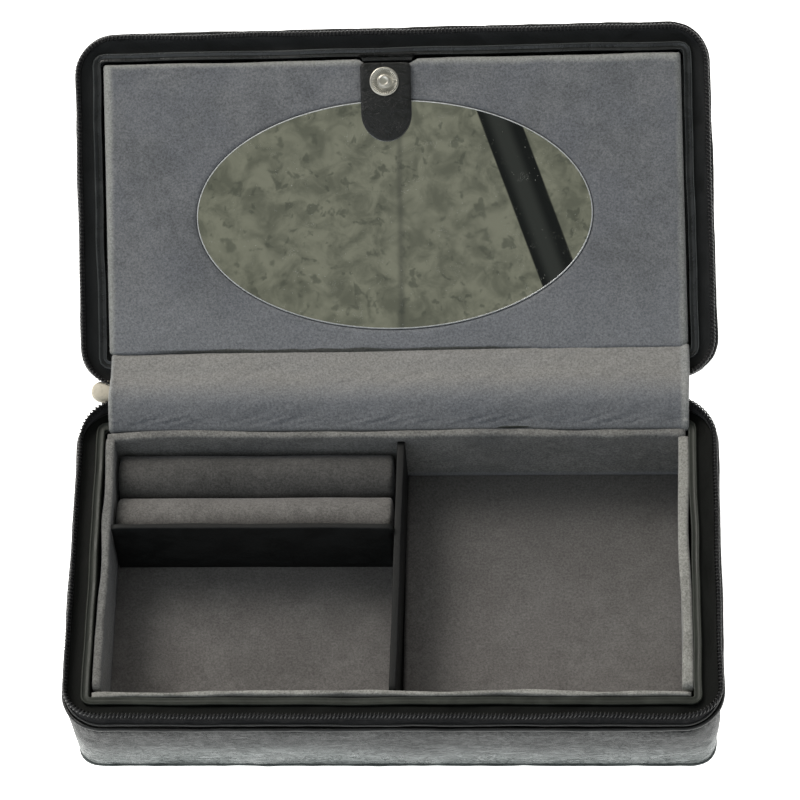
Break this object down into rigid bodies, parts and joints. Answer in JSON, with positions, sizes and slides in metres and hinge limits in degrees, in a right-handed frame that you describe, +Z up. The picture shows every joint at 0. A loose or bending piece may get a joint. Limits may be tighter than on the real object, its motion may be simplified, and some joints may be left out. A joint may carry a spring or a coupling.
{
  "type": "travel jewelry case",
  "caption": "Zip-around travel jewelry case with a folding spine, a padded tray with dividers and ring rolls, and a mirror flap over the lid's pocket.",
  "frame": {"origin": "middle of the underside of the base", "axes": "+Z up, the case's front faces -Y and its spine is at +Y, +X to the right seen from the front"},
  "size_m": [0.2486, 0.2777, 0.109],
  "materials": {
    "leather": "black grained leatherette, semi-gloss",
    "lining_black": "plain black lining, matte",
    "board": "bare grey board",
    "hardboard": "thin fibreboard",
    "suede": "brushed grey suede cloth",
    "suede_warm": "brushed grey suede cloth, warmer",
    "zip_tape": "black woven tape",
    "zip_coil": "black nylon coil",
    "mirror": "silvered glass with a ground edge",
    "nickel": "nickel plate",
    "slider": "pale satin metal"
  },
  "bodies": {
    "base": {"base_outer_leather": "leather", "base_side_leather": "leather", "base_rim_piping": "leather", "base_outer_board": "hardboard", "base_wall_board_front": "hardboard", "base_wall_board_rear": "hardboard", "base_wall_board_left": "hardboard", "base_wall_board_right": "hardboard", "base_collar": "lining_black", "base_rim_binding": "lining_black", "base_zip_tape": "zip_tape", "base_zip_coil": "zip_coil", "base_lining_flap": "suede", "floor_pad_left": "suede_warm", "floor_pad_right": "suede_warm", "tray_pad_front": "suede", "tray_pad_rear": "suede", "tray_pad_left": "suede", "tray_pad_right": "suede", "divider_long": "lining_black", "divider_cross": "lining_black", "ring_roll_front": "suede_warm", "ring_roll_rear": "suede_warm"},
    "spine": {"spine_leather": "leather", "spine_board": "board", "spine_lining": "suede", "zip_slider": "slider"},
    "lid": {"lid_outer_leather": "leather", "lid_side_leather": "leather", "lid_rim_piping": "leather", "lid_outer_board": "board", "lid_wall_board_front": "board", "lid_wall_board_rear": "board", "lid_wall_board_left": "board", "lid_wall_board_right": "board", "lid_collar": "lining_black", "lid_rim_binding": "lining_black", "lid_zip_tape": "zip_tape", "lid_zip_coil": "zip_coil", "lid_lining_flap": "suede", "lid_back_lining": "suede", "panel_ledge_left": "lining_black", "panel_ledge_right": "lining_black", "panel_ledge_hinge": "lining_black", "strap_anchor": "leather"},
    "mirror_panel": {"mirror_panel": "suede", "mirror_glass": "mirror", "snap_patch": "leather", "snap_stud": "nickel", "snap_rivet": "nickel"},
    "snap_strap": {"snap_strap": "leather", "snap_cap": "nickel", "snap_socket": "nickel"},
    "zip_pull": {"zip_pull": "slider"}
  },
  "joints": [
    {"name": "spine_fold", "type": "hinge", "parent": "base", "child": "spine", "pos_m": [0, 0.0695, 0.038], "axis": [-1, 0, 0], "range_deg": [-75.75, 14.25]},
    {"name": "lid_fold", "type": "hinge", "parent": "spine", "child": "lid", "pos_m": [0, 0.07822, 0.04022], "axis": [-1, 0, 0], "range_deg": [-75.75, 14.25]},
    {"name": "mirror_panel_hinge", "type": "hinge", "parent": "lid", "child": "mirror_panel", "pos_m": [0, 0.08855, 0.04844], "axis": [1, 0, 0], "range_deg": [0, 100]},
    {"name": "snap_strap_swing", "type": "hinge", "parent": "lid", "child": "snap_strap", "pos_m": [-0.0026, 0.19196, 0.09753], "axis": [1, 0, 0], "range_deg": [-22, 0]},
    {"name": "zip_pull_swing", "type": "hinge", "parent": "spine", "child": "zip_pull", "pos_m": [-0.1148, 0.07459, 0.03625], "axis": [0, 0.9692, 0.2462], "range_deg": [-80, 80]}
  ]
}
